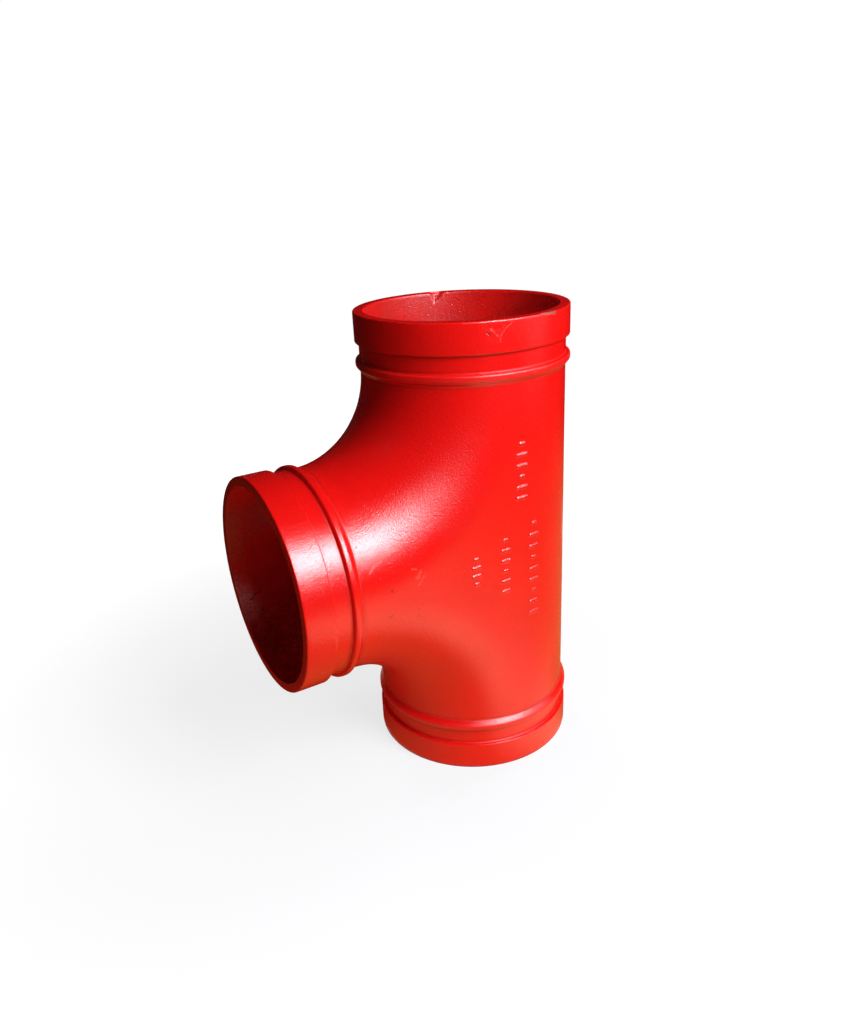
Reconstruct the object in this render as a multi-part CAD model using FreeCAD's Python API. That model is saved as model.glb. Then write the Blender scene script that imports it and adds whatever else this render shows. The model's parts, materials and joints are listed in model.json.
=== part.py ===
"""Grooved equal tee for fire mains: one hollow ductile iron casting, open at three ends.

The run stands along Z and the branch leaves it along -X. The origin is where the two centre lines cross.
The body is a swept tee. Above and below the branch it is the inside of a pipe bend, and between those two
bends and the centre line of the run its front and rear are flat webs, tangent to everything round them.
The waterway inside has the same form, one wall thickness smaller.
Each end has a lip for the coupling's gasket, a groove for the coupling's keys, and a bead that rises steeply
from the groove to a flat crown and slopes down to the body, where the bends begin. The edges of the lips,
mouths and beads are chamfered.
"""

import FreeCAD, Part

import math
import os

from FreeCAD import Vector

# Driving dimensions, in millimetres
centre_to_end = 127.0
pipe_diameter = 114.3
wall_thickness = 4.0
mouth_chamfer = 0.9

# Grooved end, its lengths taken along the leg from the end face
lip_length = 15.7
face_edge_chamfer = 0.5
groove_edge_chamfer = 0.4
groove_depth = 2.1
groove_width = 9.1
bead_width = 6.8
bead_height = 2.4
bead_wall_width = 0.6
bead_crown_width = 2.8
bead_edge_chamfer = 0.5

# The most of the groove's depth, or of the bead's height, that the chamfer beside it may take
CHAMFER_SHARE = 0.5

# Sizes that follow from those above
lip_radius = pipe_diameter / 2
body_radius = lip_radius - groove_depth
bore_radius = body_radius - wall_thickness
crown_radius = body_radius + bead_height
groove_chamfer = min(groove_edge_chamfer, CHAMFER_SHARE * groove_depth)
bead_chamfer = min(bead_edge_chamfer, CHAMFER_SHARE * bead_height)
bead_start = lip_length + groove_width
end_length = bead_start + bead_width
bend_radius = centre_to_end - end_length

ORIGIN = Vector(0, 0, 0)
RUN_AXIS = Vector(0, 0, 1)
BRANCH_AXIS = Vector(-1, 0, 0)
DEPTH_AXIS = Vector(0, 1, 0)
LEG_AXES = (RUN_AXIS, -RUN_AXIS, BRANCH_AXIS)
BOOLEAN_OVERRUN = 1.0
LENGTH_TOLERANCE = 1e-6


def on_leg(upper_leg, axis):
    """A copy of a shape made for the upper leg, turned about the origin onto the leg along axis."""
    turned = upper_leg.copy()
    turned.Placement = FreeCAD.Placement(ORIGIN, FreeCAD.Rotation(RUN_AXIS, axis))
    return turned


def back_half(radius):
    """The half cylinder on the side of the run that faces away from the branch."""
    half = Part.makeCylinder(radius, 2 * bend_radius, RUN_AXIS * -bend_radius, RUN_AXIS, 180)
    half.rotate(ORIGIN, RUN_AXIS, -90)
    return half


def flat_web(radius):
    """The flat-sided middle, bounded by the centre lines of the run and of the two bends."""
    inset = bend_radius * (1 - math.sqrt(0.5))
    top = Vector(0, -radius, bend_radius)
    bottom = Vector(0, -radius, -bend_radius)
    tip = Vector(-bend_radius, -radius, 0)
    outline = Part.Wire([
        Part.makeLine(bottom, top),
        Part.Arc(top, Vector(-inset, -radius, inset), tip).toShape(),
        Part.Arc(tip, Vector(-inset, -radius, -inset), bottom).toShape(),
    ])
    return Part.Face(outline).extrude(DEPTH_AXIS * (2 * radius))


def crotch_bend(radius):
    """The inner half of the bend from the run's upper leg into the branch."""
    centre = RUN_AXIS * bend_radius
    front = centre - DEPTH_AXIS * radius
    rear = centre + DEPTH_AXIS * radius
    crotch = centre + BRANCH_AXIS * radius
    section = Part.Wire([Part.Arc(front, crotch, rear).toShape(), Part.makeLine(rear, front)])
    bend_centre = centre + BRANCH_AXIS * bend_radius
    return Part.Face(section).revolve(bend_centre, DEPTH_AXIS, 90)


def swept_tee(radius, upper_leg):
    """A solid tee with swept crotches, all of one tube radius, whose three legs are copies of upper_leg.

    Its faces stay parted where the straight legs meet the bends, so that each leg keeps its own round wall.
    """
    upper_bend = crotch_bend(radius)
    pieces = [flat_web(radius), upper_bend, upper_bend.mirror(ORIGIN, RUN_AXIS)]
    pieces += [on_leg(upper_leg, axis) for axis in LEG_AXES]
    return back_half(radius).multiFuse(pieces)


def section_point(radius, from_end):
    """A point of the upper end's section, by its radius and its distance from the end face."""
    return Vector(radius, 0, centre_to_end - from_end)


def grooved_end():
    """The solid upper end, turned from its section: bead, groove and lip out to the end face."""
    crown_start = bead_start + bead_wall_width
    wall_share = bead_wall_width / bead_height
    section = Part.makePolygon([
        section_point(0, end_length),
        section_point(body_radius, end_length),
        section_point(crown_radius, crown_start + bead_crown_width),
        section_point(crown_radius, crown_start + bead_chamfer),
        section_point(crown_radius - bead_chamfer, crown_start - bead_chamfer * wall_share),
        section_point(body_radius, bead_start),
        section_point(body_radius, lip_length),
        section_point(lip_radius - groove_chamfer, lip_length),
        section_point(lip_radius, lip_length - groove_chamfer),
        section_point(lip_radius, face_edge_chamfer),
        section_point(lip_radius - face_edge_chamfer, 0),
        section_point(0, 0),
        section_point(0, end_length),
    ])
    return Part.Face(section).revolve(ORIGIN, RUN_AXIS, 360)


def waterway():
    """The space inside: a swept tee whose straight legs run out past the end faces."""
    leg_length = end_length + BOOLEAN_OVERRUN
    straight_leg = Part.makeCylinder(bore_radius, leg_length, RUN_AXIS * bend_radius, RUN_AXIS)
    return swept_tee(bore_radius, straight_leg)


def mouth_edges(casting):
    """The three circles where the waterway meets the end faces."""
    found = []
    for edge in casting.Edges:
        curve = edge.Curve
        if not isinstance(curve, Part.Circle) or abs(curve.Radius - bore_radius) > LENGTH_TOLERANCE:
            continue
        if abs(curve.Center.Length - centre_to_end) < LENGTH_TOLERANCE:
            found.append(edge)
    return found


def tee_casting():
    """The whole casting: the swept body with its three grooved ends, hollowed, with chamfered mouths."""
    casting = swept_tee(body_radius, grooved_end()).cut(waterway())
    return casting.makeChamfer(mouth_chamfer, mouth_edges(casting)).Solids[0]


os.makedirs("parts", exist_ok=True)
tee = tee_casting()
tee.exportStep("parts/tee_casting.step")
print(f"tee_casting: valid {tee.isValid()}, faces {len(tee.Faces)}, volume {tee.Volume:.0f} mm3")
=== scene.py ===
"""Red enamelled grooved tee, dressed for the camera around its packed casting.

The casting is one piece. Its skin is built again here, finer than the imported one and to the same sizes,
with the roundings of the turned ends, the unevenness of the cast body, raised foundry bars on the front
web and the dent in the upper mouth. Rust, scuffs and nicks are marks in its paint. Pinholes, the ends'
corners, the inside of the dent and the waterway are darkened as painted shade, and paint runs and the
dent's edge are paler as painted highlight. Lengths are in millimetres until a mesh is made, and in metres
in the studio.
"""

import functools
import json
import logging
import math
from dataclasses import dataclass, field
from enum import Enum

import bmesh
import bpy
import numpy as np
from mathutils import Matrix, Vector, geometry, noise

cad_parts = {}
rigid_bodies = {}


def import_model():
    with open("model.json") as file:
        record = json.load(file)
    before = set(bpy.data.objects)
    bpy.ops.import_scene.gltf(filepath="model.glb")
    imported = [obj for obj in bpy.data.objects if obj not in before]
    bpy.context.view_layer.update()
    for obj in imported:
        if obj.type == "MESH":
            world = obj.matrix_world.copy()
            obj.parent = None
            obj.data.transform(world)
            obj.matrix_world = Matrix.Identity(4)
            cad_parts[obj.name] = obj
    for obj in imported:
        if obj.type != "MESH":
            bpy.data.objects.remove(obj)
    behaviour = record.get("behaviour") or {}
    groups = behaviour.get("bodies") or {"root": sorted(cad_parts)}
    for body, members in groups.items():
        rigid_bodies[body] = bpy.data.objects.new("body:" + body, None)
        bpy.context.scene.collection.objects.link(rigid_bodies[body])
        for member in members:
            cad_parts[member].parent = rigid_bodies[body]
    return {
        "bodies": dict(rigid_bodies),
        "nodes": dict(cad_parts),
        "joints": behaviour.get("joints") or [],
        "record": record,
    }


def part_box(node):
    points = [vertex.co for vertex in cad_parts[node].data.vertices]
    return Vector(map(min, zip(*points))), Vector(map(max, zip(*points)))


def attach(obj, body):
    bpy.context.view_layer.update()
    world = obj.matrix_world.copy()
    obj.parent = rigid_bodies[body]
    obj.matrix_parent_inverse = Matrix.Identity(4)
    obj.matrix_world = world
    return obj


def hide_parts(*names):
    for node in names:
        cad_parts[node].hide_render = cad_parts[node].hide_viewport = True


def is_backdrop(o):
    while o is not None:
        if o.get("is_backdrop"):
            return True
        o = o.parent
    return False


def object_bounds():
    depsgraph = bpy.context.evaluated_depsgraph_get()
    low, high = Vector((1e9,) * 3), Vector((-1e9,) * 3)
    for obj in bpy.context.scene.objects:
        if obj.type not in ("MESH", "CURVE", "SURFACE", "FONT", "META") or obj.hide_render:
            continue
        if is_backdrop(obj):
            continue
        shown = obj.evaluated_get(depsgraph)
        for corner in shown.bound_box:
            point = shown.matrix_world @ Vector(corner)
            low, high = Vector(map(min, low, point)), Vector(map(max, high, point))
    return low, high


LOG = logging.getLogger("grooved_tee")
MM = 0.001
CAD_NODE = "tee_casting"
CLOSE_COLUMNS = 0.5
SAME_ANGLE = 1e-6
WELD_REACH = 2e-6
WHITE = (1.0, 1.0, 1.0, 1.0)

Array = np.ndarray
Socket = bpy.types.NodeSocket
Tree = bpy.types.NodeTree
Material = bpy.types.Material
Triple = tuple[float, float, float]


class Leg(Enum):
    """The three legs of the tee, each with its axis and the direction in which its ring angle opens."""

    TOP = ((0.0, 0.0, 1.0), (1.0, 0.0, 0.0))
    BOTTOM = ((0.0, 0.0, -1.0), (1.0, 0.0, 0.0))
    BRANCH = ((-1.0, 0.0, 0.0), (0.0, 0.0, 1.0))

    def point(self, radius: Array | float, angle: Array, height: Array | float) -> Array:
        """Place points of this leg.

        Args:
            radius: Distances from the leg's centre line.
            angle: Degrees round the leg, from the front (-Y) towards the opening direction.
            height: Distances from the crossing of the centre lines.

        Returns:
            The points, with x, y and z along the last axis.
        """
        axis, opening = (np.array(v) for v in self.value)
        turn = np.radians(angle)[..., None]
        ring = np.cos(turn) * np.array([0.0, -1.0, 0.0]) + np.sin(turn) * opening
        return ring * np.asarray(radius)[..., None] + axis * np.asarray(height)[..., None]


class Face(Enum):
    """The two finishes of the casting's skin, by material index."""

    OUTSIDE = 0
    WATERWAY = 1


def ring_angles(step: float, zones: tuple = ()) -> Array:
    """Rising angles of a full ring's columns, closer together in zones given as (start, stop)."""
    close = [np.arange(start, stop + CLOSE_COLUMNS / 2, CLOSE_COLUMNS) for start, stop in zones]
    return np.unique(np.round(np.concatenate([np.arange(0.0, 360.0, step), *close]), 4))


def grid_faces(rows: range, columns: int, closed: bool) -> list:
    """Corner indices of the four-sided faces that join each of some rows of points to the next row."""
    sides = [(row * columns, c, (c + 1) % columns) for row in rows for c in range(columns - 1 + closed)]
    return [(here + c, here + n, here + columns + n, here + columns + c) for here, c, n in sides]


def rounded_rows(corners: list, steps: int) -> list:
    """Rows along a broken profile line whose corners are rounded.

    Args:
        corners: Corners as (radius, distance from the end face, rounding).
        steps: Number of rows on each rounding.

    Returns:
        The rows as (radius, distance from the end face) pairs.
    """
    rows = [corners[0][:2]]
    for before, corner, after in zip(corners, corners[1:], corners[2:]):
        here = Vector(corner[:2])
        back, ahead = ((Vector(side[:2]) - here).normalized() for side in (before, after))
        half = back.angle(ahead) / 2
        centre = here + (back + ahead).normalized() * (corner[2] / math.sin(half))
        first, last = (here + way * (corner[2] / math.tan(half)) - centre for way in (back, ahead))
        opening = first.angle(last)
        for share in np.linspace(0.0, 1.0, steps):
            parts = math.sin((1.0 - share) * opening), math.sin(share * opening)
            rows.append(tuple(centre + (first * parts[0] + last * parts[1]) / math.sin(opening)))
    return rows + [corners[-1][:2]]


def filled_rows(rows: list, longest: float) -> Array:
    """Add evenly spaced rows wherever two neighbours are further apart than the longest step."""
    steps = [(a, b, max(1, math.ceil(math.dist(a, b) / longest))) for a, b in zip(rows, rows[1:])]
    return np.concatenate([np.linspace(a, b, n + 1)[:-1] for a, b, n in steps] + [rows[-1:]])


def smooth_step(value: Array) -> Array:
    """Clamp to 0..1 and ease both ends."""
    t = np.clip(value, 0.0, 1.0)
    return t * t * (3.0 - 2.0 * t)


def wave(points: Array, length: float, seed: float) -> Array:
    """Smooth noise of about -1 to 1 over points, by its wave length and an offset for its pattern."""
    shift = Vector((seed, 1.7 * seed, -2.3 * seed))
    return np.array([noise.noise(Vector(p) / length + shift) for p in points.tolist()])


def beyond(spots: Array, low: Array, high: Array) -> Array:
    """Keep the spots that lie outside a box."""
    return spots[np.any((spots < low) | (spots > high), axis=1)]


def add_object(name: str, data: bpy.types.ID) -> bpy.types.Object:
    """Add an object to the scene, with its mesh, lamp or camera."""
    bpy.context.scene.collection.objects.link(made := bpy.data.objects.new(name, data))
    return made


@dataclass(frozen=True)
class EndSizes:
    """A grooved end, its lengths taken from the end face along the leg."""

    lip_length: float = 15.7
    groove_depth: float = 2.1
    groove_width: float = 9.1
    bead_width: float = 6.8
    bead_wall_width: float = 0.6
    bead_crown_width: float = 2.8
    bead_foot_length: float = 0.5
    mouth_flare: float = 0.1
    mouth_flare_length: float = 9.0
    mouth_flare_rounding: float = 12.0
    mouth_rounding: float = 1.0
    rim_rounding: float = 0.75
    groove_edge_rounding: float = 0.45
    groove_foot_rounding: float = 0.6
    wall_foot_rounding: float = 0.5
    crown_edge_rounding: float = 1.1
    crown_shoulder_rounding: float = 1.3
    bead_foot_rounding: float = 0.9
    water_strip: float = 1.2


FLARED_END = EndSizes(mouth_flare=0.9, mouth_rounding=0.5)


@dataclass
class GroovedEnd:
    """One grooved end, from the waterway round mouth, lip and groove to the bead's foot, as profile rows."""

    lip_radius: float
    bore_radius: float
    crown_radius: float
    row_gap: float = 1.8
    corner_rows: int = 6
    sizes: EndSizes = field(default_factory=EndSizes)

    @property
    def body_radius(self) -> float:
        """Radius of the groove's floor and of the body."""
        return self.lip_radius - self.sizes.groove_depth

    @property
    def length(self) -> float:
        """Length of the whole end."""
        return self.bead + self.sizes.bead_width

    @property
    def bead(self) -> float:
        """Where the bead starts."""
        return self.sizes.lip_length + self.sizes.groove_width

    def shelter(self, from_end: Array, from_axis: Array) -> Array:
        """Measure how deep points lie in the end's corners, where the coat is thick and dull and its colour
        is darkened as painted shade.

        Args:
            from_end: Their distances from the end face.
            from_axis: Their distances from the centre line.

        Returns:
            Values from 0 to 1.
        """
        spots = ((self.sizes.lip_length + 0.4, 0.9), (self.bead - 0.4, 0.9), (self.length - 0.6, 1.1))
        near = [np.exp(-(((from_end - spot) / width) ** 2)) for spot, width in spots]
        return np.max(near, axis=0) * smooth_step(self.body_radius + 1.5 - from_axis)

    def rows(self) -> Array:
        """Lay out the profile.

        Returns:
            Its rows, without the one where the bead's foot meets the body.
        """
        size, floor, bead = self.sizes, self.body_radius, self.bead
        crown = bead + size.bead_wall_width
        corners = [
            (self.bore_radius, self.length - size.water_strip, 0.0),
            (self.bore_radius, size.mouth_flare_length, size.mouth_flare_rounding),
            (self.bore_radius + size.mouth_flare, 0.0, size.mouth_rounding),
            (self.lip_radius, 0.0, size.rim_rounding),
            (self.lip_radius, size.lip_length, size.groove_edge_rounding),
            (floor, size.lip_length, size.groove_foot_rounding),
            (floor, bead, size.wall_foot_rounding),
            (self.crown_radius, crown, size.crown_edge_rounding),
            (self.crown_radius, crown + size.bead_crown_width, size.crown_shoulder_rounding),
            (floor, self.length - size.bead_foot_length, size.bead_foot_rounding),
            (floor, self.length, 0.0),
        ]
        return filled_rows(rounded_rows(corners, self.corner_rows)[:-1], self.row_gap)


@dataclass
class SkinMesh:
    """Patches of the casting's skin, gathered before they are welded into one mesh."""

    points: list = field(default_factory=list)
    faces: list = field(default_factory=list)
    finishes: list = field(default_factory=list)
    count: int = 0

    def add(self, points: Array, faces: list, finish: Face) -> None:
        """Add a patch.

        Args:
            points: Its points.
            faces: Corner indices of each face.
            finish: The finish of its faces.
        """
        self.points.append(np.asarray(points, float).reshape(-1, 3))
        self.faces += [tuple(i + self.count for i in corners) for corners in faces]
        self.finishes += [finish.value] * len(faces)
        self.count += len(self.points[-1])

    def add_grid(self, grid: Array, closed: bool, finish: Face, water_rows: int = 0) -> None:
        """Add rows of points joined into four-sided faces.

        Args:
            grid: Points by row and column.
            closed: Whether the last column joins the first.
            finish: The faces' finish.
            water_rows: How many rows of faces come first, in the waterway.
        """
        rows, columns = grid.shape[:2]
        for part, look in ((range(water_rows), Face.WATERWAY), (range(water_rows, rows - 1), finish)):
            if part:
                self.add(grid, grid_faces(part, columns, closed), look)

    def add_strip(self, first: tuple, second: tuple, finish: Face) -> None:
        """Join two full rings that have different columns.

        Args:
            first: Rising angles and points of one ring.
            second: The same of the other ring.
            finish: The faces' finish.
        """
        (a, ring_a), (b, ring_b) = first, second
        n, m = len(a), len(b)
        next_a, next_b = ([*angles[1:], angles[0] + 360.0, math.inf] for angles in (a, b))
        faces = []
        i = j = 0
        while i < n or j < m:
            here, there = i % n, n + j % m
            if abs(next_a[i] - next_b[j]) < SAME_ANGLE:
                faces.append((here, (i + 1) % n, n + (j + 1) % m, there))
                i, j = i + 1, j + 1
            elif next_a[i] < next_b[j]:
                faces.append((here, (i + 1) % n, there))
                i += 1
            else:
                faces.append((here, n + (j + 1) % m, there))
                j += 1
        self.add(np.concatenate([ring_a, ring_b]), faces, finish)

    def weld(self, name: str) -> bpy.types.Object:
        """Join all patches into one mesh, and log how many of its edges are open.

        Args:
            name: The object's name.

        Returns:
            The object, in metres.
        """
        mesh = bpy.data.meshes.new(name)
        mesh.from_pydata((np.concatenate(self.points) * MM).tolist(), [], self.faces)
        mesh.polygons.foreach_set("material_index", self.finishes)
        shell = bmesh.new()
        shell.from_mesh(mesh)
        bmesh.ops.remove_doubles(shell, verts=shell.verts, dist=WELD_REACH)
        bmesh.ops.recalc_face_normals(shell, faces=shell.faces)
        LOG.info("%s: %d open edges", name, sum(len(edge.link_faces) != 2 for edge in shell.edges))
        if shell.calc_volume(signed=True) < 0:
            bmesh.ops.reverse_faces(shell, faces=shell.faces)
        shell.to_mesh(mesh)
        shell.free()
        mesh.shade_smooth()
        return add_object(name, mesh)


@dataclass(frozen=True)
class FoundryBars:
    """Plain raised bars that the pattern leaves on the front web. Every third one of a row is a pip.

    A row is its place across, its top and bottom, its number of bars and half the length of a long bar.
    """

    rows: tuple = (
        (6.4, 19.0, -33.5, 9, 2.6),
        (-12.2, 14.0, -15.5, 6, 2.2),
        (-30.6, 8.0, -6.0, 4, 2.2),
        (-1.5, 64.0, 35.0, 6, 2.6),
    )
    pip_share: float = 0.35
    half_width: float = 0.62
    height: float = 0.65
    flank: float = 0.55
    margin: float = 1.6
    cell: float = 0.42

    def bars(self) -> list:
        """Lay out all bars.

        Returns:
            The bars as (across, up, half length).
        """
        return [
            (across, up, reach if index % 3 else self.pip_share * reach)
            for across, top, bottom, count, reach in self.rows
            for index, up in enumerate(np.linspace(top, bottom, count))
        ]

    def boxes(self) -> list:
        """Boxes on the web that need close points, as (low, high) corner pairs."""
        ends = [(np.array((x - reach, up)), np.array((x + reach, up))) for x, up, reach in self.bars()]
        return [(low - self.margin, high + self.margin) for low, high in ends]

    def height_at(self, spots: Array) -> Array:
        """Height of the bars above the web.

        Args:
            spots: Places on the web, across and up.

        Returns:
            Heights in millimetres.
        """
        total = np.zeros(len(spots))
        for across, up, reach in self.bars():
            past_end = np.maximum(np.abs(spots[:, 0] - across) - reach, 0.0)
            away = np.hypot(past_end, spots[:, 1] - up)
            rise = smooth_step((self.half_width + self.flank - away) / self.flank)
            total = np.maximum(total, self.height * rise)
        return total


@dataclass
class SweptSkin:
    """One skin of the swept body, outer or inner, of a given tube radius."""

    skin: SkinMesh
    radius: float
    bend_radius: float
    finish: Face
    bars: FoundryBars | None = None
    step: float = 2.0
    bend_rows: int = 64
    run_rows: int = 88
    cell: float = 2.3
    front_turn: float = 30.0
    box_gap: float = 0.4
    arc_gap: float = 0.55
    edge_gap: float = 0.5

    def ring(self, leg: Leg) -> tuple:
        """The ring of columns in which this skin meets a leg."""
        angles = ring_angles(self.step)
        return angles, leg.point(self.radius, angles, self.bend_radius)

    def web_outline(self) -> Array:
        """Outline the web and the strip of the back cylinder beside it.

        Returns:
            Places across and up.
        """
        bend = self.bend_radius
        columns = int(round(self.front_turn / self.step))
        edge = self.radius * math.radians(self.front_turn)
        across = np.linspace(edge, 0.0, columns + 1)
        turns = np.radians(np.linspace(0.0, 90.0, self.bend_rows + 1))
        arc = np.column_stack([-bend * (1.0 - np.cos(turns)), bend * (1.0 - np.sin(turns))])
        top = np.column_stack([across, np.full(columns + 1, bend)])
        upper = np.concatenate([top, arc[1:]])
        lower = (upper * [1.0, -1.0])[::-1][1:]
        heights = np.linspace(-bend, bend, self.run_rows + 1)[1:-1]
        right = np.column_stack([np.full(len(heights), edge), heights])
        return np.concatenate([upper, lower, right])

    def web_spots(self, outline: Array, boxes: list) -> Array:
        """Points inside the web's outline.

        Args:
            outline: The outline's points.
            boxes: Where the points are closer together.

        Returns:
            Places across and up.
        """
        low, high = outline.min(axis=0), outline.max(axis=0)
        spots = self.lattice(low, high, self.cell)
        for index, (box_low, box_high) in enumerate(boxes):
            fine = self.lattice(box_low, box_high, self.bars.cell)
            for earlier in boxes[:index]:
                fine = beyond(fine, *earlier)
            spots = np.concatenate([beyond(spots, box_low - self.box_gap, box_high + self.box_gap), fine])
        bend = self.bend_radius
        across, tall = spots[:, 0], np.abs(spots[:, 1])
        to_arc = np.hypot(across + bend, tall - bend) - bend
        inside = (to_arc > self.arc_gap * self.cell) | (across > 0.0)
        edge = self.edge_gap * self.cell
        inside &= (across < high[0] - edge) & (tall < bend - edge)
        return spots[inside]

    @staticmethod
    def lattice(low: Array, high: Array, cell: float) -> Array:
        """Fill a box with points in staggered rows.

        Args:
            low: The box's low corner.
            high: Its high corner.
            cell: Distance between points.

        Returns:
            The points.
        """
        spots = []
        for index, height in enumerate(np.arange(low[1], high[1] + cell, cell * math.sqrt(0.75))):
            across = np.arange(low[0] + (index % 2) * cell / 2, high[0] + cell, cell)
            spots.append(np.column_stack([across, np.full(len(across), height)]))
        return np.concatenate(spots)

    def add_web(self, side: float) -> None:
        """Add one web, as triangles over its outline.

        Args:
            side: -1 for the front web and 1 for the rear one.
        """
        boxes = self.bars.boxes() if self.bars and side < 0 else []
        outline = self.web_outline()
        spots = np.concatenate([outline, self.web_spots(outline, boxes)])
        loop = list(range(len(outline)))
        edges = list(zip(loop, loop[1:] + loop[:1]))
        made = geometry.delaunay_2d_cdt([Vector(p) for p in spots.tolist()], edges, [loop], 1, 1e-7)
        across, up = np.array([tuple(v) for v in made[0]]).T
        turn = np.maximum(across, 0.0) / self.radius
        x = np.where(across > 0.0, self.radius * np.sin(turn), across)
        y = side * self.radius * np.cos(turn)
        self.skin.add(np.column_stack([x, y, up]), made[2], self.finish)

    def add_back(self) -> None:
        """Add the part of the back cylinder between the two webs' strips."""
        columns = int(round((180.0 - 2 * self.front_turn) / self.step))
        angles = np.linspace(self.front_turn, 180.0 - self.front_turn, columns + 1)
        heights = np.linspace(-self.bend_radius, self.bend_radius, self.run_rows + 1)
        grid = Leg.TOP.point(self.radius, angles[None, :], heights[:, None])
        self.skin.add_grid(grid, False, self.finish)

    def add_bend(self, upwards: float) -> None:
        """Add the inner half of one bend.

        Args:
            upwards: 1 for the upper bend and -1 for the lower one.
        """
        bend = self.bend_radius
        turns = np.radians(np.linspace(0.0, 90.0, self.bend_rows + 1))[:, None]
        section = np.radians(np.linspace(0.0, 180.0, int(round(180.0 / self.step)) + 1))[None, :]
        reach = bend - self.radius * np.sin(section)
        x = -bend + reach * np.cos(turns)
        z = upwards * (bend - reach * np.sin(turns))
        y = -self.radius * np.cos(section)
        self.skin.add_grid(np.stack(np.broadcast_arrays(x, y, z), axis=2), False, self.finish)

    def build(self) -> None:
        """Add the whole swept skin."""
        self.add_back()
        for side in (-1.0, 1.0):
            self.add_web(side)
            self.add_bend(side)


@dataclass
class TeeCasting:
    """The casting: its skin inside and out, its unevenness, its foundry bars and its damage."""

    centre_to_end: float
    lip_radius: float
    bore_radius: float
    crown_radius: float
    name: str = "enamelled_casting"
    ring_step: float = 2.0
    top_zones: tuple = ((332.0, 352.0), (152.0, 174.0))
    top_row_gap: float = 1.0
    bars: FoundryBars = field(default_factory=FoundryBars)
    turned_length: float = 24.6
    turned_swell: float = 0.05
    cast_swell: float = 0.16
    dent_turn: float = 162.0
    dent_depth: float = 1.5
    dent_drop: float = 0.45
    flaky_turn: float = -18.0
    flake_depth: float = 0.13

    @classmethod
    def from_frame(cls, frame: dict) -> "TeeCasting":
        """Take the casting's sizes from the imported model.

        Args:
            frame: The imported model.

        Returns:
            The casting.
        """
        radius = {m["name"]: m["dims"].get("r_mm") for m in frame["record"]["mounts"]}
        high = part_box(CAD_NODE)[1] / MM
        return cls(round(high.z, 3), radius["top_grooved_end"], radius["run_waterway"], round(high.x, 3))

    def end(self, **choices: object) -> GroovedEnd:
        """A grooved end of this casting's sizes."""
        return GroovedEnd(self.lip_radius, self.bore_radius, self.crown_radius, **choices)

    def build_skin(self) -> SkinMesh:
        """Gather all patches of the skin.

        Returns:
            The skin.
        """
        skin = SkinMesh()
        end = self.end()
        bend = self.centre_to_end - end.length
        # Its columns on the back half lie between those of the rings, with cracks of about 0.03 mm
        coarse = {"step": 4.0, "bend_rows": 32, "run_rows": 44, "cell": 4.4}
        outer = SweptSkin(skin, end.body_radius, bend, Face.OUTSIDE, self.bars, self.ring_step)
        inner = SweptSkin(skin, end.bore_radius, bend, Face.WATERWAY, **coarse)
        outer.build()
        inner.build()
        ends = {
            Leg.TOP: (self.end(row_gap=self.top_row_gap), self.top_zones),
            Leg.BOTTOM: (end, ()),
            Leg.BRANCH: (self.end(sizes=FLARED_END), ()),
        }
        for leg, (end, zones) in ends.items():
            angles = ring_angles(self.ring_step, zones)
            profile = end.rows()
            water_rows = np.count_nonzero(profile[:, 0] < end.bore_radius + end.sizes.mouth_flare + 0.2)
            grid = leg.point(profile[:, :1], angles[None, :], self.centre_to_end - profile[:, 1:])
            skin.add_grid(grid, True, Face.OUTSIDE, water_rows - 1)
            skin.add_strip((angles, grid[0]), inner.ring(leg), Face.WATERWAY)
            skin.add_strip((angles, grid[-1]), outer.ring(leg), Face.OUTSIDE)
        return skin

    def build(self) -> bpy.types.Object:
        """Build the casting and wear it in.

        Returns:
            The casting, without its finishes.
        """
        piece = self.build_skin().weld(self.name)
        self.wear_in(piece.data)
        return piece

    def wear_in(self, mesh: bpy.types.Mesh) -> None:
        """Move the skin for its unevenness, bars and damage, and store where its coat differs.

        Args:
            mesh: The casting's mesh.
        """
        points = np.zeros(len(mesh.vertices) * 3)
        mesh.vertices.foreach_get("co", points)
        points = points.reshape(-1, 3) / MM
        normals = np.array([n.vector[:] for n in mesh.vertex_normals])
        end = self.end()
        x, y, z = points.T
        tall = np.abs(z)
        branch_side = -x > tall
        from_axis = np.hypot(np.where(branch_side, z, x), y)
        from_end = self.centre_to_end - np.where(branch_side, -x, tall)
        on_run_end = self.centre_to_end - tall < end.length
        on_end = on_run_end | (self.centre_to_end + x < end.length)
        outside = from_axis > self.bore_radius + 1.0
        turned = on_end & outside & (from_end < self.turned_length)
        swell = 0.5 * wave(points, 31.0, 3.1) + 0.3 * wave(points, 13.0, 8.7) - 0.8
        push = np.where(turned, self.turned_swell, self.cast_swell) * swell
        push = np.where(on_end & (from_end < 0.3), 0.0, push) + self.bar_heights(points)
        moved = points + normals * push[:, None] + self.damage(points)
        mesh.vertices.foreach_set("co", (moved * MM).ravel())
        on_bead = on_run_end & outside & (from_end > 20.0)
        shares = {
            "as_cast": ~(on_end & outside),
            # The corner share dulls the coat and also darkens its colour as painted shade.
            "shelter": end.shelter(from_end, from_axis) * outside,
            "bead": smooth_step((from_axis - end.body_radius - 0.6) / 0.8) * on_bead,
        }
        for name, share in shares.items():
            mesh.attributes.new(name, "FLOAT", "POINT").data.foreach_set("value", share.astype(np.float32))
        mesh.update()

    def bar_heights(self, points: Array) -> Array:
        """Height of the foundry bars at points of the skin.

        Args:
            points: The points.

        Returns:
            Their heights, 0 off the front.
        """
        body = self.end().body_radius
        x, y, z = points.T
        front = (y < 0.0) & (np.where(x > 0.0, np.hypot(x, y), -y) > body - 1.0)
        across = np.where(x > 0.0, body * np.arctan2(np.maximum(x, 0.0), -y), x)
        return self.bars.height_at(np.column_stack([across, z])) * front

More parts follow.
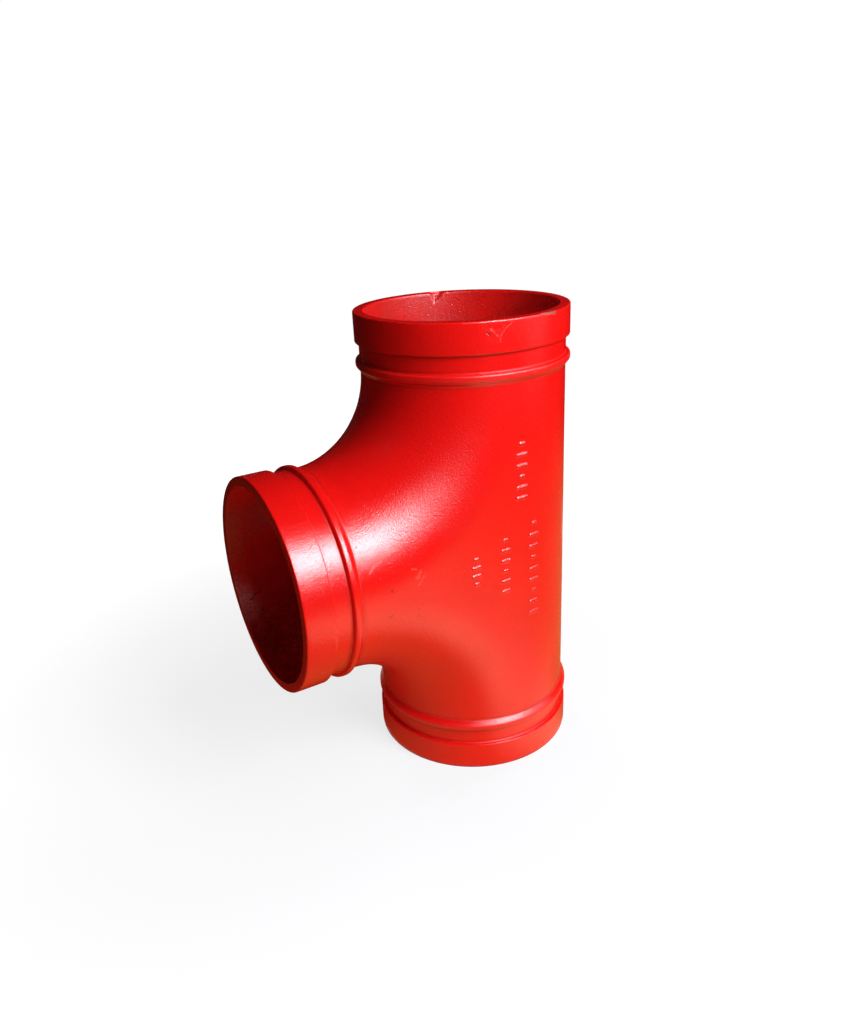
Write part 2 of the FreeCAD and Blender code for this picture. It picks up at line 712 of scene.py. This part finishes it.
    def damage(self, points: Array) -> Array:
        """Dent the far side of the upper mouth and roughen the paint on the near side of the upper lip.

        Args:
            points: The points of the skin.

        Returns:
            How far each of them moves.
        """
        x, y, z = points.T
        angle = np.degrees(np.arctan2(x, -y))
        radius = np.hypot(x, y)
        top = self.centre_to_end - z
        outward = np.column_stack([x, y, np.zeros(len(points))]) / radius[:, None]
        dent = 1.0 - np.abs(angle - self.dent_turn - 0.4 * top) / 6.0 - top / 7.0
        dent = np.clip(dent, 0.0, 1.0) * (radius < self.bore_radius + 3.0)
        flaky = smooth_step((7.5 - np.abs(angle - self.flaky_turn)) / 4.0) * smooth_step((11.0 - top) / 5.0)
        flaky = flaky * (radius > self.lip_radius - 1.0)
        ridges = wave(points, 2.1, 21.0) + 0.5 * wave(points, 1.1, 11.0)
        flakes = self.flake_depth * flaky * (ridges - 0.9)
        shift = outward * (self.dent_depth * smooth_step(1.5 * dent) + flakes)[:, None]
        shift[:, 2] -= self.dent_drop * smooth_step(2.0 * dent)
        return shift


class MarkKind(Enum):
    """What a mark in the paint shows: wear and rust, and in places painted highlight and painted shade."""

    # Paler worn paint, and on the body's paint runs and along the dent's edge painted highlight.
    RUBBED = "paler paint"
    # Dark nicks, smudges and cracks, and inside the dent of the upper mouth painted shade.
    BRUISED = "dark nick"
    RUSTED = "rusty iron"


@dataclass(frozen=True)
class Mark:
    """A mark in the paint along a short straight line, ragged along its edge."""

    start: Triple
    stop: Triple
    half_width: float
    raggedness: float
    share: float = 1.0

    def inputs(self) -> dict:
        """Its values for the node group of a mark, in metres."""
        ends = {"Start": Vector(self.start) * MM, "Stop": Vector(self.stop) * MM}
        return ends | {"Half Width": self.half_width * MM, "Raggedness": self.raggedness * MM}


OUTSIDE_MARKS = {
    MarkKind.RUBBED: (
        Mark((9.2, -55.8, 127.0), (13.0, -55.1, 126.9), 0.6, 0.9),
        Mark((-7.9, -56.6, 125.6), (-11.5, -56.0, 122.9), 0.30, 0.9, 0.5),
        Mark((-11.5, -56.0, 122.9), (-13.9, -55.4, 119.7), 0.30, 0.9, 0.5),
        Mark((-13.9, -55.4, 119.7), (-14.4, -55.3, 116.8), 0.26, 0.9, 0.4),
        Mark((-18.8, -54.0, 122.9), (-16.9, -54.6, 121.6), 0.55, 2.1, 0.6),
        Mark((-16.8, -54.6, 121.0), (-15.3, -55.1, 119.4), 0.50, 1.9, 0.5),
        Mark((-23.5, -52.2, 126.6), (-12.0, -55.9, 126.7), 0.5, 1.5, 0.5),
        # Painted highlight: the pale streak where raised paint runs on the body catch the light.
        Mark((-90.0, -52.4, 16.9), (-87.2, -51.7, 19.3), 0.85, 1.8, 0.85),
        Mark((-87.2, -51.7, 19.3), (-83.0, -51.4, 20.8), 0.7, 1.8, 0.6),
        Mark((-68.3, -54.3, 13.6), (-65.8, -54.6, 12.6), 0.6, 1.5, 0.45),
        Mark((-63.6, -54.7, 11.0), (-66.0, -54.8, 7.6), 1.2, 4.2, 0.25),
        Mark((-61.4, -54.9, 9.0), (-64.9, -54.9, 4.2), 0.8, 3.6, 0.2),
    ),
    MarkKind.BRUISED: (
        Mark((-20.6, -53.3, 121.4), (-19.6, -53.7, 120.9), 0.55, 0.5),
        Mark((-80.4, -54.9, 5.6), (-79.9, -54.9, 5.1), 0.8, 1.0, 0.5),
        Mark((-63.5, -55.0, -6.9), (-63.1, -55.0, -6.9), 0.55, 0.7, 0.4),
        Mark((-66.0, -54.9, -9.3), (-65.5, -54.9, -9.1), 0.5, 0.7, 0.4),
        Mark((-66.0, -54.4, -13.2), (-65.6, -54.4, -13.2), 0.6, 0.8, 0.4),
        Mark((-82.2, -54.5, -8.7), (-80.8, -54.5, -8.3), 1.0, 2.0, 0.3),
    ),
    MarkKind.RUSTED: (Mark((12.2, -55.5, 126.9), (19.2, -53.8, 126.4), 1.1, 3.4, 0.85),),
}
WATERWAY_MARKS = {
    # Painted highlight: a pale line along the edge of the dent in the upper mouth.
    MarkKind.RUBBED: (Mark((13.3, 49.9, 126.3), (20.1, 47.6, 126.5), 0.7, 0.6, 0.7),),
    MarkKind.BRUISED: (
        # Painted shade: darkens the inside of the dent in the upper mouth.
        Mark((17.9, 48.4, 124.6), (16.2, 49.4, 122.3), 1.1, 0.9, 0.35),
        Mark((-121.3, 42.9, -29.0), (-118.4, 43.0, -27.6), 0.55, 1.8, 0.9),
        Mark((-117.6, 43.6, -26.4), (-114.4, 43.9, -26.0), 0.6, 2.0, 0.9),
        Mark((-124.0, 45.6, -24.4), (-122.6, 45.0, -25.4), 0.45, 1.2, 0.7),
    ),
    MarkKind.RUSTED: (),
}

# Painted shade: the colour that the pinholes darken towards.
PIT_SHADE_COLOUR = (0.22, 0.006, 0.005)
# Painted shade: the colour that the ends' corners darken towards.
CORNER_SHADE_COLOUR = (0.30, 0.004, 0.003)
# Paler worn paint, and painted highlight on paint runs and on the dent's edge.
PALE_WEAR_AND_HIGHLIGHT_COLOUR = (0.88, 0.13, 0.105)
# Dark nicks, and painted shade inside the dent of the upper mouth.
NICK_AND_DENT_SHADE_COLOUR = (0.20, 0.006, 0.005)
DARK_RUST = (0.05, 0.012, 0.006)
PALE_RUST = (0.30, 0.10, 0.05)
PITS_PER_MM = 0.62
MARK_CORE = 0.45


@dataclass(frozen=True)
class Enamel:
    """A glossy brushed-on enamel over cast iron."""

    name: str
    colour: Triple
    deep_colour: Triple
    roughness: float
    peel_waves: float
    peel: float
    pebble: float
    pits: float
    dips: float
    marks: dict[MarkKind, tuple[Mark, ...]]


OUTSIDE_ENAMEL = Enamel(
    "red_enamel_outside",
    colour=(0.80, 0.0065, 0.005),
    deep_colour=(0.74, 0.005, 0.004),
    roughness=0.175,
    peel_waves=1.35,
    peel=0.145,
    pebble=0.03,
    pits=0.46,
    dips=0.035,
    marks=OUTSIDE_MARKS,
)
WATERWAY_ENAMEL = Enamel(
    "red_enamel_waterway",
    # Darker than the outside enamel's colours: painted shade inside the bore.
    colour=(0.72, 0.008, 0.006),
    deep_colour=(0.52, 0.012, 0.009),
    roughness=0.24,
    peel_waves=1.25,
    peel=0.22,
    pebble=0.05,
    pits=0.50,
    dips=0.10,
    marks=WATERWAY_MARKS,
)


class Net:
    """A net of shader nodes, linked by name."""

    SCALAR_RESULTS = ("DOT_PRODUCT", "DISTANCE", "LENGTH")

    def __init__(self, tree: Tree) -> None:
        """Start on an empty tree."""
        self.tree = tree
        tree.nodes.clear()

    @classmethod
    def on(cls, owner: bpy.types.ID) -> "Net":
        """Start on the tree of a material or world."""
        owner.use_nodes = True
        return cls(owner.node_tree)

    def node(self, kind: str, inputs: dict | None = None, **settings: object) -> bpy.types.Node:
        """Add a node.

        Args:
            kind: Its type, without the ShaderNode in front.
            inputs: Values and sockets to link from, by the input's name or number.
            **settings: The node's own settings.

        Returns:
            The node.
        """
        made = self.tree.nodes.new(kind if kind.startswith("Node") else "ShaderNode" + kind)
        for setting, value in settings.items():
            setattr(made, setting, value)
        for key, value in (inputs or {}).items():
            if isinstance(value, Socket):
                self.link(value, made.inputs[key])
            else:
                made.inputs[key].default_value = value
        return made

    def link(self, source: Socket, target: Socket) -> None:
        """Link two sockets."""
        self.tree.links.new(source, target)

    def group(self, tree: Tree, inputs: dict) -> bpy.types.NodeOutputs:
        """Add a node group and give its outputs."""
        return self.node("Group", inputs, node_tree=tree).outputs

    def show(self, shader: bpy.types.Node) -> None:
        """Make a shader the material's surface."""
        self.node("OutputMaterial", {"Surface": shader.outputs[0]})

    def place(self) -> Socket:
        """Where on its object a point lies, in metres."""
        return self.node("TexCoord").outputs["Object"]

    def attribute(self, label: str) -> Socket:
        """A value that the mesh stores."""
        return self.node("Attribute", attribute_name=label).outputs["Fac"]

    def math(self, operation: str, *values: object) -> Socket:
        """Add a Math node and give its result."""
        return self.node("Math", dict(enumerate(values)), operation=operation).outputs[0]

    def fold(self, operation: str, *values: object) -> Socket:
        """Add Math nodes that take up one value after the other."""
        return functools.reduce(functools.partial(self.math, operation), values)

    def times(self, *values: object) -> Socket:
        """Multiply values."""
        return self.fold("MULTIPLY", *values)

    def scaled(self, value: object, by: object, plus: object) -> Socket:
        """Multiply a value and then add to it."""
        return self.math("MULTIPLY_ADD", value, by, plus)

    def vector(self, operation: str, *values: object) -> Socket:
        """Add a Vector Math node and give its result."""
        made = self.node("VectorMath", dict(enumerate(values)), operation=operation)
        return made.outputs["Value" if operation in self.SCALAR_RESULTS else "Vector"]

    def blend(self, share: object, first: object, second: object) -> Socket:
        """Mix two colours by a share."""
        colours = [c if isinstance(c, Socket) else (*c, 1.0) for c in (first, second)]
        return self.node("Mix", {0: share, 6: colours[0], 7: colours[1]}, data_type="RGBA").outputs[2]

    def ramp(self, value: object, low: object, high: object) -> Socket:
        """Ease a value from 0 at low to 1 at high."""
        span = {"Value": value, "From Min": low, "From Max": high}
        return self.node("MapRange", span, interpolation_type="SMOOTHSTEP").outputs["Result"]

    def patch(self, *spans: tuple) -> Socket:
        """Where every one of some values is past its ramp, each given as (value, low, high)."""
        return self.times(*(self.ramp(*span) for span in spans))

    def noise(self, place: Socket, per_mm: float, detail: float = 2.0) -> Socket:
        """Noise over a place in metres, with so many waves a millimetre."""
        waves = {"Vector": place, "Scale": per_mm / MM, "Detail": detail}
        return self.node("TexNoise", waves).outputs["Fac"]


def make_group(name: str, values: tuple, results: tuple, vectors: tuple = ("Place",)) -> tuple:
    """Start a shader node group.

    Args:
        name: The group's name.
        values: Names of its value inputs.
        results: Names of its outputs.
        vectors: Names of its vector inputs.

    Returns:
        Its nodes, and inside it the sockets to link from and to.
    """
    tree = bpy.data.node_groups.new(name, "ShaderNodeTree")
    for label in vectors + values + results:
        kind = "NodeSocketVector" if label in vectors else "NodeSocketFloat"
        tree.interface.new_socket(label, in_out="OUTPUT" if label in results else "INPUT", socket_type=kind)
    net = Net(tree)
    return net, net.node("NodeGroupInput").outputs, net.node("NodeGroupOutput").inputs


def build_peel_group() -> Tree:
    """Height of enamel over a sand-cast skin: fine orange peel on the pebbles of the mould.

    Returns:
        The group.
    """
    net, given, result = make_group("enamel_peel", ("Coarseness", "Waves", "Peel", "Pebble"), ("Height",))
    fine = {"Vector": given["Place"], "Scale": given["Waves"], "Detail": 3.0}
    peel = net.math("SUBTRACT", net.node("TexNoise", fine).outputs["Fac"], 0.5)
    pebble = net.math("SUBTRACT", net.noise(given["Place"], 0.4), 0.5)
    both = net.math("ADD", net.times(peel, given["Peel"]), net.times(pebble, given["Pebble"]))
    net.link(net.times(both, given["Coarseness"]), result["Height"])
    return net.tree


def build_pit_group() -> Tree:
    """Pinholes in enamel: scattered dips, a third of a millimetre to a millimetre across, with a mask that
    dulls them and darkens their colour as painted shade.

    Returns:
        The group.
    """
    net, given, result = make_group("enamel_pits", ("Share",), ("Dip", "Mask"))
    cells = net.node("TexVoronoi", {"Vector": given["Place"], "Scale": PITS_PER_MM / MM})
    parts = net.node("SeparateColor", {"Color": cells.outputs["Color"]})
    chosen = net.math("LESS_THAN", parts.outputs[0], given["Share"])
    size = net.scaled(parts.outputs[1], 0.20, 0.18)
    share = net.math("DIVIDE", cells.outputs["Distance"], size)
    dip = net.times(chosen, net.ramp(share, 1.0, 0.15))
    net.link(dip, result["Dip"])
    # The mask darkens the pinholes' colour as painted shade and dulls them.
    net.link(net.ramp(dip, 0.30, 0.85), result["Mask"])
    return net.tree


def build_mottle_group() -> Tree:
    """Slow change of depth in a brushed coat, from thin to thick.

    Returns:
        The group.
    """
    net, given, result = make_group("coat_mottle", (), ("Mask",))
    broad = net.noise(given["Place"], 0.035, 3.0)
    both = net.scaled(net.noise(given["Place"], 0.4), 0.35, broad)
    net.link(net.ramp(both, 0.45, 0.95), result["Mask"])
    return net.tree


def build_mark_group() -> Tree:
    """Mask of a mark along a straight line, whose edge wobbles.

    Returns:
        The group.
    """
    values = ("Half Width", "Wobble", "Raggedness")
    net, given, result = make_group("paint_mark", values, ("Mask",), ("Place", "Start", "Stop"))
    line = net.vector("SUBTRACT", given["Stop"], given["Start"])
    there = net.vector("SUBTRACT", given["Place"], given["Start"])
    along = net.vector("DOT_PRODUCT", there, line)
    whole = net.vector("DOT_PRODUCT", line, line)
    share = net.node("Clamp", {"Value": net.math("DIVIDE", along, whole)}).outputs[0]
    nearest = net.node("VectorMath", {0: line, "Scale": share}, operation="SCALE").outputs["Vector"]
    away = net.vector("DISTANCE", there, nearest)
    edge = net.scaled(given["Wobble"], given["Raggedness"], away)
    core = net.times(given["Half Width"], MARK_CORE)
    net.link(net.ramp(edge, given["Half Width"], core), result["Mask"])
    return net.tree


@dataclass
class FinishShop:
    """Makes the materials of the casting."""

    peel: Tree = field(default_factory=build_peel_group)
    pits: Tree = field(default_factory=build_pit_group)
    mottle: Tree = field(default_factory=build_mottle_group)
    mark: Tree = field(default_factory=build_mark_group)

    def mark_mask(self, net: Net, place: Socket, marks: tuple[Mark, ...]) -> Socket | float:
        """Where a finish has marks of one kind.

        Args:
            net: The material's nodes.
            place: Where on the object.
            marks: The marks.

        Returns:
            Their mask.
        """
        wobble = net.math("SUBTRACT", net.noise(place, 0.75, 3.0), 0.5)
        total = 0.0
        for mark in marks:
            mask = net.group(self.mark, {"Place": place, "Wobble": wobble, **mark.inputs()})["Mask"]
            total = net.math("MAXIMUM", total, net.times(mask, mark.share))
        return total

    def enamel(self, finish: Enamel) -> Material:
        """Make an enamel, with its chips down to rusty iron.

        Args:
            finish: Its values.

        Returns:
            The material.
        """
        material = bpy.data.materials.new(finish.name)
        net = Net.on(material)
        place = net.place()
        as_cast, shelter, bead = (net.attribute(label) for label in ("as_cast", "shelter", "bead"))
        relief = {
            "Place": place,
            "Coarseness": net.scaled(as_cast, 0.12, 0.88),
            "Waves": finish.peel_waves / MM,
            "Peel": finish.peel,
            "Pebble": finish.pebble,
        }
        peel = net.group(self.peel, relief)["Height"]
        pits = net.group(self.pits, {"Place": place, "Share": finish.pits})
        mottle = net.group(self.mottle, {"Place": place})["Mask"]
        pale_wear_and_highlight, nick_and_dent_shade, bare = (self.mark_mask(net, place, finish.marks[kind]) for kind in MarkKind)
        grime = net.ramp(net.noise(place, 0.9, 3.0), 0.40, 0.60)
        colour = net.blend(mottle, finish.colour, finish.deep_colour)
        # Pinholes and the ends' corners darken as painted shade, pale marks are worn paint and partly
        # painted highlight, dark marks are nicks and partly painted shade, and bare spots show rust.
        for share, paint in (
            (net.times(pits["Mask"], 0.35), PIT_SHADE_COLOUR),
            (net.times(shelter, 0.25), CORNER_SHADE_COLOUR),
            (pale_wear_and_highlight, PALE_WEAR_AND_HIGHLIGHT_COLOUR),
            (nick_and_dent_shade, NICK_AND_DENT_SHADE_COLOUR),
            (bare, net.blend(grime, DARK_RUST, PALE_RUST)),
        ):
            colour = net.blend(share, colour, paint)
        rough = net.scaled(mottle, 0.08, finish.roughness)
        for share, dullness in ((bare, 0.8), (pits["Mask"], 0.34), (shelter, 0.35), (bead, 0.33)):
            rough = net.math("MAXIMUM", rough, net.times(share, dullness))
        worn = net.math("ADD", net.times(bare, 0.15), net.times(nick_and_dent_shade, 0.20))
        height = net.math("SUBTRACT", peel, net.scaled(pits["Dip"], finish.dips, worn))
        bump = net.node("Bump", {"Height": height, "Distance": MM}).outputs["Normal"]
        coat = {"Base Color": colour, "Roughness": rough, "Normal": bump, "IOR": 1.5}
        net.show(net.node("BsdfPrincipled", coat))
        return material


def heading(turn: float, rise: float) -> Vector:
    """Direction from the object, by its turn from the front towards +X and its rise, in degrees."""
    turn, rise = math.radians(turn), math.radians(rise)
    return Vector((math.sin(turn) * math.cos(rise), -math.cos(turn) * math.cos(rise), math.sin(rise)))


class Role(Enum):
    """Whether a softbox or cloth lights the paint and whether it shows in its gloss."""

    LAMP = (True, True)
    CARD = (False, True)
    FILL = (True, False)


@dataclass(frozen=True)
class Softbox:
    """A rectangular lamp that faces the object.

    Its turn goes round the object from the front (-Y) towards +X and its rise is above the horizon, both in
    degrees. Its distance and size are in metres, and its radiance is how bright it looks in a mirror.
    """

    name: str
    turn: float
    rise: float
    away: float
    size: tuple[float, float]
    radiance: float
    role: Role = Role.LAMP
    colour: Triple = (0.98, 0.93, 1.0)

    def build(self) -> None:
        """Add the lamp to the scene."""
        lamp = bpy.data.lights.new(self.name, "AREA")
        lamp.shape = "RECTANGLE"
        lamp.size, lamp.size_y = self.size
        lamp.energy = self.radiance * math.pi * self.size[0] * self.size[1]
        lamp.color = self.colour
        back = heading(self.turn, self.rise)
        holder = add_object(self.name, lamp)
        holder.location = back * self.away
        holder.rotation_euler = (-back).to_track_quat("-Z", "Y").to_euler()
        holder.visible_diffuse, holder.visible_glossy = self.role.value


@dataclass
class Studio:
    """Floor, surround, dark tent, laid cloth, floor glow and lamps."""

    floor_height: float
    softboxes: tuple[Softbox, ...] = (
        Softbox("key_core", 12.0, 36.5, 0.72, (0.38, 0.33), 13.5),
        Softbox("key_rim", 12.0, 36.0, 0.73, (0.66, 0.56), 1.2),
        Softbox("core_card", 9.5, 36.5, 0.71, (0.27, 0.22), 17.0, Role.CARD),
        Softbox("rim_card", 12.0, 36.0, 0.74, (0.70, 0.56), 1.8, Role.CARD),
        Softbox("left_card", -15.0, 38.0, 0.745, (0.18, 0.36), 1.5, Role.CARD),
        Softbox("top_fill", 10.0, 62.0, 0.80, (0.20, 0.20), 4.8, Role.FILL),
        Softbox("side_card", 44.0, 33.0, 0.75, (0.50, 0.52), 2.8, Role.CARD),
        Softbox("low_card", 48.0, 13.0, 0.77, (0.36, 0.36), 1.2, Role.CARD, (0.90, 0.92, 1.0)),
        Softbox("back_card", -100.0, 45.0, 0.80, (0.12, 0.12), 0.30, Role.CARD),
        Softbox("right_fill", 96.0, 14.0, 0.80, (0.34, 0.34), 7.0, Role.FILL),
        Softbox("rear_fill", 174.0, 6.0, 0.80, (0.42, 0.22), 9.5, Role.FILL),
    )
    seen: tuple[str, ...] = ("Camera", "Glossy", "Transmission")
    ambience: float = 0.01
    floor_half: float = 6.0
    tent_radius: float = 0.9
    laid_radii: tuple[float, float] = (0.3, 0.0575)
    laid_gap: float = 0.001
    cloth_front: float = 1.6
    cloth_right: float = 0.36
    cloth_left: float = 0.26
    cloth_rear: float = 2.4
    cloth_rest: float = 0.015
    glow_round: float = 1.06
    glow_left: float = 2.8
    glow_rest: float = 0.06

    def build(self) -> None:
        """Build the whole studio."""
        self.add_floor()
        self.add_world()
        self.add_tent()
        self.add_laid_cloth()
        self.add_floor_glow()
        for softbox in self.softboxes:
            softbox.build()

    def add_card(
        self, name: str, points: list, faces: list, material: Material, role: Role | None = None
    ) -> None:
        """Add a piece of the studio that isn't part of the object.

        Args:
            name: Its name.
            points: Its points, in metres.
            faces: Corner indices of its faces.
            material: Its material.
            role: What it does for the paint, where the camera doesn't see it.
        """
        mesh = bpy.data.meshes.new(name)
        mesh.from_pydata(points, [], faces)
        mesh.materials.append(material)
        card = add_object(name, mesh)
        card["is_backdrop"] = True
        if role is not None:
            card.visible_camera = card.visible_shadow = card.visible_transmission = False
            card.visible_diffuse, card.visible_glossy = role.value

    def seen_rays(self, net: Net) -> Socket:
        """1 for camera, glossy and transmission rays, and 0 for the rays that light the object."""
        rays = net.node("LightPath").outputs
        return net.fold("MAXIMUM", *(rays[f"Is {name} Ray"] for name in self.seen))

    def add_floor(self) -> None:
        """Add the pale floor, which takes the object's soft shadow."""
        material = bpy.data.materials.new("pale_floor")
        net = Net.on(material)
        seen = self.seen_rays(net)
        away = net.vector("LENGTH", net.place())
        strength = net.scaled(net.ramp(away, 0.12, 0.55), 0.25, 0.75)
        strength = net.times(strength, net.ramp(away, 0.050, 0.056))
        shaded = net.node("BsdfDiffuse", {"Color": (0.30, 0.30, 0.30, 1.0)})
        glow = net.node("Emission", {"Color": WHITE, "Strength": strength})
        eye = net.node("AddShader", {0: shaded.outputs[0], 1: glow.outputs[0]})
        bounce = net.node("BsdfDiffuse", {"Color": (0.30, 0.27, 0.22, 1.0)})
        net.show(net.node("MixShader", {0: seen, 1: bounce.outputs[0], 2: eye.outputs[0]}))
        half, z = self.floor_half, self.floor_height
        points = [(-half, -half, z), (half, -half, z), (half, half, z), (-half, half, z)]
        self.add_card("floor", points, [(0, 1, 2, 3)], material)

    def add_world(self) -> None:
        """Make the surround white to the eye and dim as a light."""
        world = bpy.data.worlds.new("surround")
        bpy.context.scene.world = world
        net = Net.on(world)
        span = {"Value": self.seen_rays(net), "To Min": self.ambience, "To Max": 1.0}
        strength = net.node("MapRange", span).outputs["Result"]
        back = net.node("Background", {"Color": WHITE, "Strength": strength})
        net.node("OutputWorld", {"Surface": back.outputs[0]})

    def add_tent(self) -> None:
        """Hang a dark tent round the object, behind the lamps."""
        material = bpy.data.materials.new("dark_tent")
        net = Net.on(material)
        net.show(net.node("BsdfDiffuse", {"Color": (0.012, 0.012, 0.012, 1.0)}))
        rings = [(rise, self.tent_radius, 0.0) for rise in range(-9, 91, 9)]
        self.add_rings("tent", material, rings, 12, Role.CARD)

    def add_rings(self, name: str, material: Material, rings: list, step: int, role: Role) -> None:
        """Add joined rings of points round the object, out of the camera's sight.

        Args:
            name: The piece's name.
            material: Its material.
            rings: Each ring's rise in degrees, distance and added height.
            step: Degrees between points.
            role: What the piece does for the paint.
        """
        turns = range(0, 360, step)
        lifted = [(rise, away, Vector((0.0, 0.0, z))) for rise, away, z in rings]
        points = [heading(turn, rise) * away + lift for rise, away, lift in lifted for turn in turns]
        self.add_card(name, points, grid_faces(range(len(rings) - 1), len(turns), True), material, role)

    def laid_rings(self, reach: float) -> list:
        """Rings that lie on the floor round the object's foot, out to a reach."""
        return [(0.0, away, self.floor_height + self.laid_gap) for away in (reach, *self.laid_radii)]

    def add_laid_cloth(self) -> None:
        """Lay what the gloss shows of the floor: bright in front and behind, dim on both sides."""
        material = bpy.data.materials.new("laid_cloth")
        net = Net.on(material)
        place = net.place()
        parts = net.node("SeparateXYZ", {"Vector": place})
        x, y = parts.outputs["X"], parts.outputs["Y"]
        away = net.vector("LENGTH", place)
        slant = net.scaled(y, -0.5, x)
        falloff = net.scaled(net.ramp(x, 0.0, 0.11), -0.8, 1.0)
        falloff = net.scaled(net.ramp(x, 0.10, 0.20), -0.2, falloff)
        foot = net.scaled(net.ramp(away, 0.12, 0.07), -0.35, 1.0)
        front = net.patch((slant, -0.005, 0.05), (y, -0.03, -0.07), (away, 0.62, 0.32))
        front = net.times(front, falloff, foot)
        right = net.patch((x, 0.0, 0.10), (away, 0.80, 0.15))
        left = net.patch((x, 0.02, -0.04), (away, 0.34, 0.16), (y, 0.03, -0.04))
        rear = net.patch((y, 0.11, 0.17), (away, 0.44, 0.20), (x, -0.10, 0.01))
        strength = net.scaled(left, self.cloth_left, self.cloth_rest)
        strength = net.scaled(right, self.cloth_right, strength)
        strength = net.scaled(rear, self.cloth_rear, strength)
        strength = net.scaled(front, self.cloth_front, strength)
        tint = net.blend(net.ramp(x, -0.04, 0.04), (1.0, 0.84, 0.16), (1.0, 0.84, 0.28))
        tint = net.blend(net.ramp(front, 0.05, 0.45), tint, (1.0, 0.86, 0.54))
        tint = net.blend(net.ramp(away, 0.16, 0.065), tint, (1.0, 0.74, 0.20))
        tint = net.blend(net.ramp(rear, 0.0, 0.30), tint, (1.0, 0.93, 0.84))
        net.show(net.node("Emission", {"Color": tint, "Strength": strength}))
        self.add_rings("laid_cloth", material, self.laid_rings(1.2), 10, Role.CARD)

    def add_floor_glow(self) -> None:
        """Light the lower parts as a sunlit floor does, brightest round the object's foot."""
        material = bpy.data.materials.new("floor_glow")
        net = Net.on(material)
        place = net.place()
        round_foot = net.ramp(net.vector("DISTANCE", place, (-0.01, -0.12, 0.0)), 0.45, 0.10)
        on_left = net.ramp(net.vector("DISTANCE", place, (-0.25, -0.13, 0.0)), 0.19, 0.05)
        strength = net.scaled(round_foot, self.glow_round, self.glow_rest)
        strength = net.scaled(on_left, self.glow_left, strength)
        upwards = net.math("SUBTRACT", 1.0, net.node("NewGeometry").outputs["Backfacing"])
        glow = {"Color": (1.0, 0.82, 0.50, 1.0), "Strength": net.times(strength, upwards)}
        net.show(net.node("Emission", glow))
        self.add_rings("floor_glow", material, self.laid_rings(0.6), 10, Role.FILL)


@dataclass(frozen=True)
class PhotoCamera:
    """The camera that took the reference view, as fitted to the rims and the outline."""

    focal_pixels: float = 837.781
    long_side_pixels: float = 1024.0
    sensor_width: float = 36.0
    turn: float = -29.768
    rise: float = 22.135
    roll: float = -2.983
    away: float = 484.246
    aim_across: float = -26.145
    aim_up: float = 10.359

    def build(self) -> None:
        """Make the camera and set it as the scene's."""
        back, right = heading(self.turn, self.rise), heading(self.turn + 90.0, 0.0)
        spin = Matrix.Rotation(math.radians(self.roll), 3, back)
        sides = Matrix((spin @ right, spin @ back.cross(right), back)).transposed()
        place = (right * self.aim_across + Vector((0.0, 0.0, self.aim_up)) + back * self.away) * MM
        data = bpy.data.cameras.new("photo_camera")
        data.sensor_width = self.sensor_width
        data.lens = self.sensor_width * self.focal_pixels / self.long_side_pixels
        data.clip_start, data.clip_end = 0.01, 20.0
        camera = add_object("photo_camera", data)
        camera.matrix_world = Matrix.Translation(place) @ sides.to_4x4()
        bpy.context.scene.camera = camera


def main() -> None:
    """Build the casting, dress it, and set the studio and the camera."""
    logging.basicConfig(level=logging.INFO, format="%(name)s: %(message)s")
    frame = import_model()
    cad_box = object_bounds()
    casting = TeeCasting.from_frame(frame)
    piece = casting.build()
    shop = FinishShop()
    for finish in (OUTSIDE_ENAMEL, WATERWAY_ENAMEL):
        piece.data.materials.append(shop.enamel(finish))
    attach(piece, "root")
    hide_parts(CAD_NODE)
    LOG.info("%s: %d faces", piece.name, len(piece.data.polygons))
    Studio(floor_height=cad_box[0].z).build()
    PhotoCamera().build()
    bpy.context.scene.view_settings.view_transform = "Standard"


if __name__ == "__main__":
    main()
